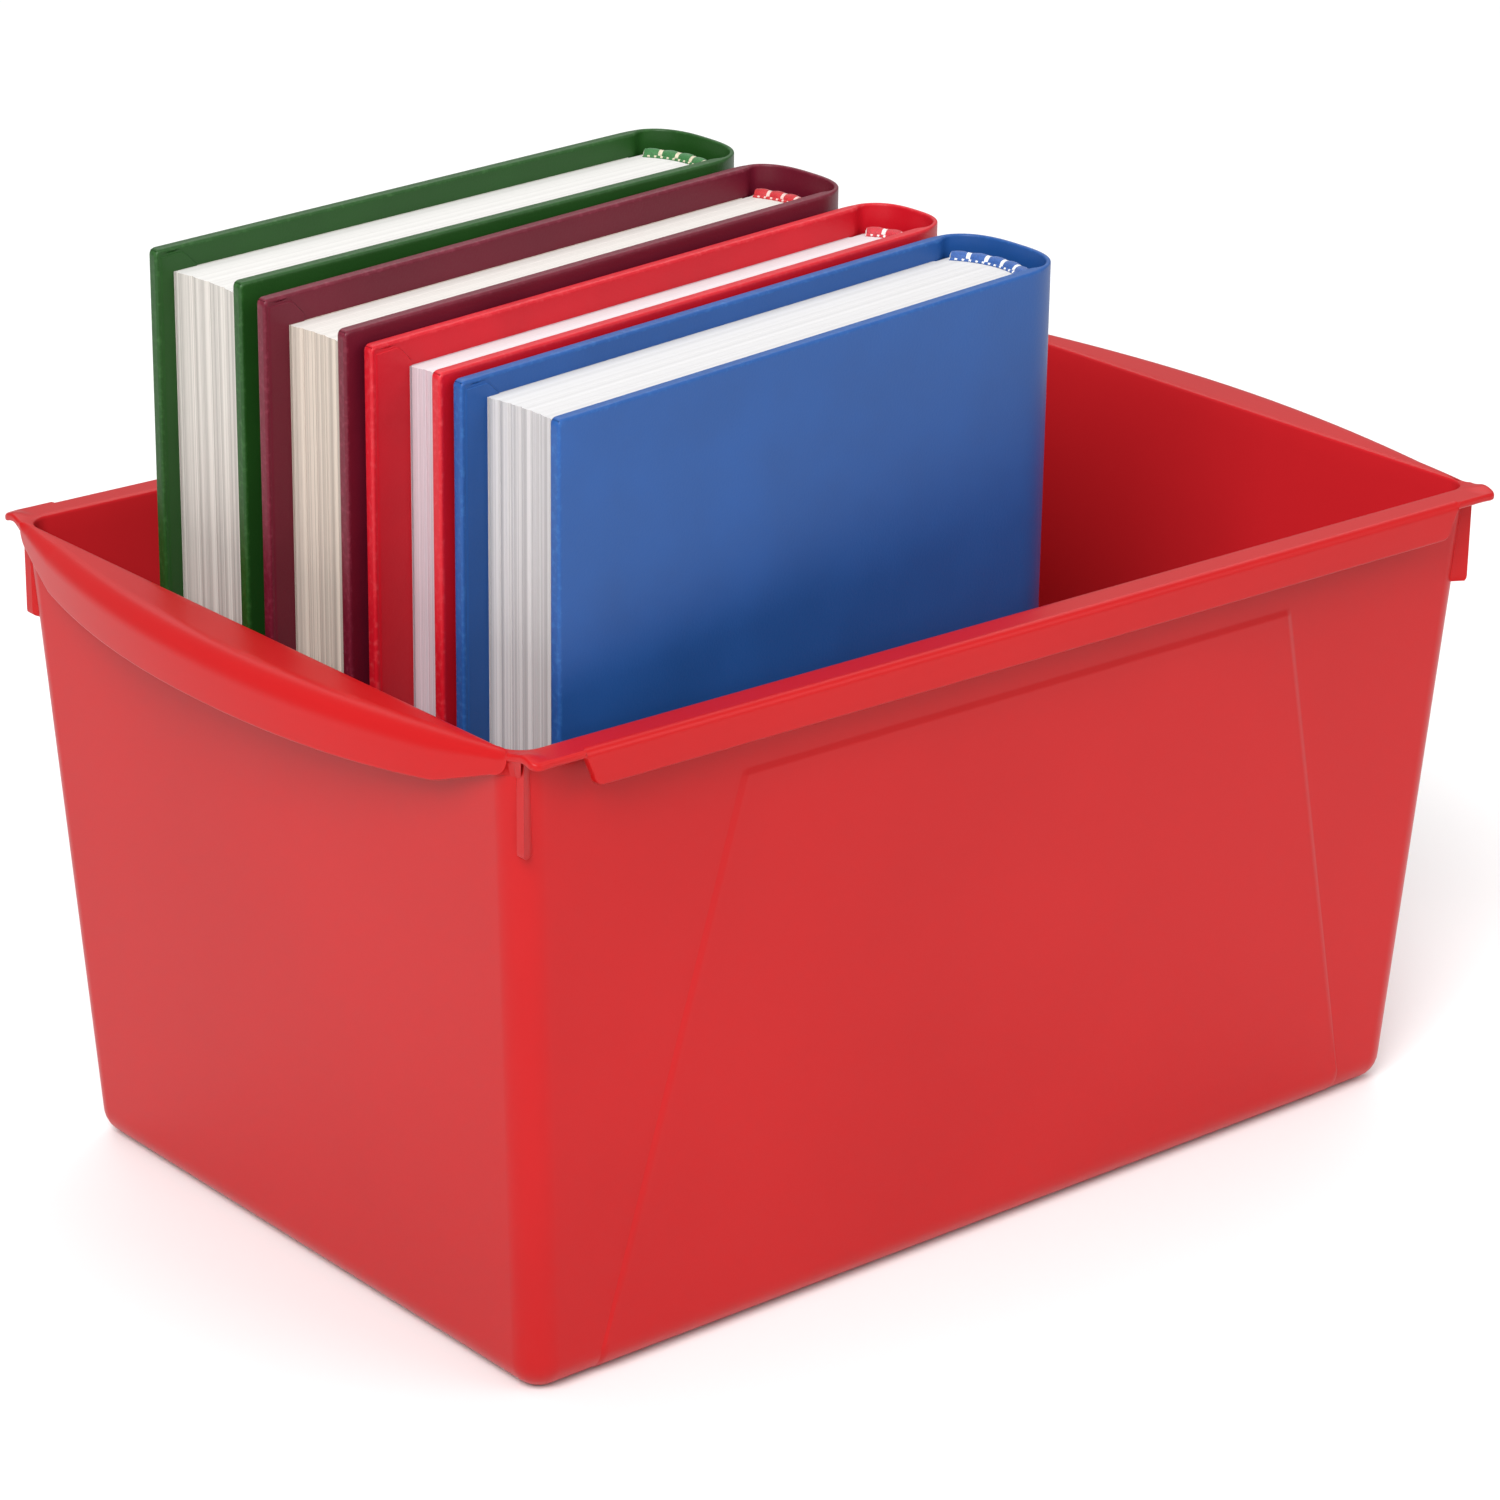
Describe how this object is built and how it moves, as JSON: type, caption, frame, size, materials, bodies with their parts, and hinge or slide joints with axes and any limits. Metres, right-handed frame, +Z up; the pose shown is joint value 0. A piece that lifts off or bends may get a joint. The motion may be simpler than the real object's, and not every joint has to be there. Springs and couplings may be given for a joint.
{
  "type": "book bin",
  "caption": "Open tapered rectangular plastic bin with crescent end handles and turned-down side rims, holding hardcover books upright at one end; each book lifts out.",
  "frame": {"origin": "centre of the bin's underside, on the surface it stands on", "axes": "+X along the bin, from the end with the books to the empty end; +Y across the bin, from the front long wall to the rear one; +Z up"},
  "size_m": [0.362, 0.2328, 0.2575],
  "materials": {
    "bin_plastic": "semi-gloss moulded polypropylene with a fine even texture",
    "green_cloth": "coated book cloth, low sheen",
    "green_pages": "cut page edges",
    "green_band": "striped woven thread",
    "maroon_cloth": "coated book cloth, low sheen",
    "maroon_pages": "cut page edges",
    "maroon_band": "striped woven thread",
    "red_cloth": "coated book cloth, low sheen",
    "red_pages": "cut page edges",
    "red_band": "striped woven thread",
    "blue_cloth": "coated book cloth, low sheen",
    "blue_pages": "cut page edges",
    "blue_band": "striped woven thread",
    "board": "grey binder's board",
    "lining": "glued gauze and paper"
  },
  "bodies": {
    "bin": {"bin": "bin_plastic"},
    "green_book": {"green_case_cloth": "green_cloth", "green_back_board": "board", "green_front_board": "board", "green_spine_strip": "board", "green_page_block": "green_pages", "green_back_endpaper": "green_pages", "green_front_endpaper": "green_pages", "green_spine_lining": "lining", "green_headband": "green_band", "green_tailband": "green_band"},
    "maroon_book": {"maroon_case_cloth": "maroon_cloth", "maroon_back_board": "board", "maroon_front_board": "board", "maroon_spine_strip": "board", "maroon_page_block": "maroon_pages", "maroon_back_endpaper": "maroon_pages", "maroon_front_endpaper": "maroon_pages", "maroon_spine_lining": "lining", "maroon_headband": "maroon_band", "maroon_tailband": "maroon_band"},
    "red_book": {"red_case_cloth": "red_cloth", "red_back_board": "board", "red_front_board": "board", "red_spine_strip": "board", "red_page_block": "red_pages", "red_back_endpaper": "red_pages", "red_front_endpaper": "red_pages", "red_spine_lining": "lining", "red_headband": "red_band", "red_tailband": "red_band"},
    "blue_book": {"blue_case_cloth": "blue_cloth", "blue_back_board": "board", "blue_front_board": "board", "blue_spine_strip": "board", "blue_page_block": "blue_pages", "blue_back_endpaper": "blue_pages", "blue_front_endpaper": "blue_pages", "blue_spine_lining": "lining", "blue_headband": "blue_band", "blue_tailband": "blue_band"}
  },
  "joints": [
    {"name": "green_book_lift", "type": "slide", "parent": "bin", "child": "green_book", "axis": [0, 0, 1], "range_m": [0, 0.3]},
    {"name": "maroon_book_lift", "type": "slide", "parent": "bin", "child": "maroon_book", "axis": [0, 0, 1], "range_m": [0, 0.3]},
    {"name": "red_book_lift", "type": "slide", "parent": "bin", "child": "red_book", "axis": [0, 0, 1], "range_m": [0, 0.3]},
    {"name": "blue_book_lift", "type": "slide", "parent": "bin", "child": "blue_book", "axis": [0, 0, 1], "range_m": [0, 0.3]}
  ]
}
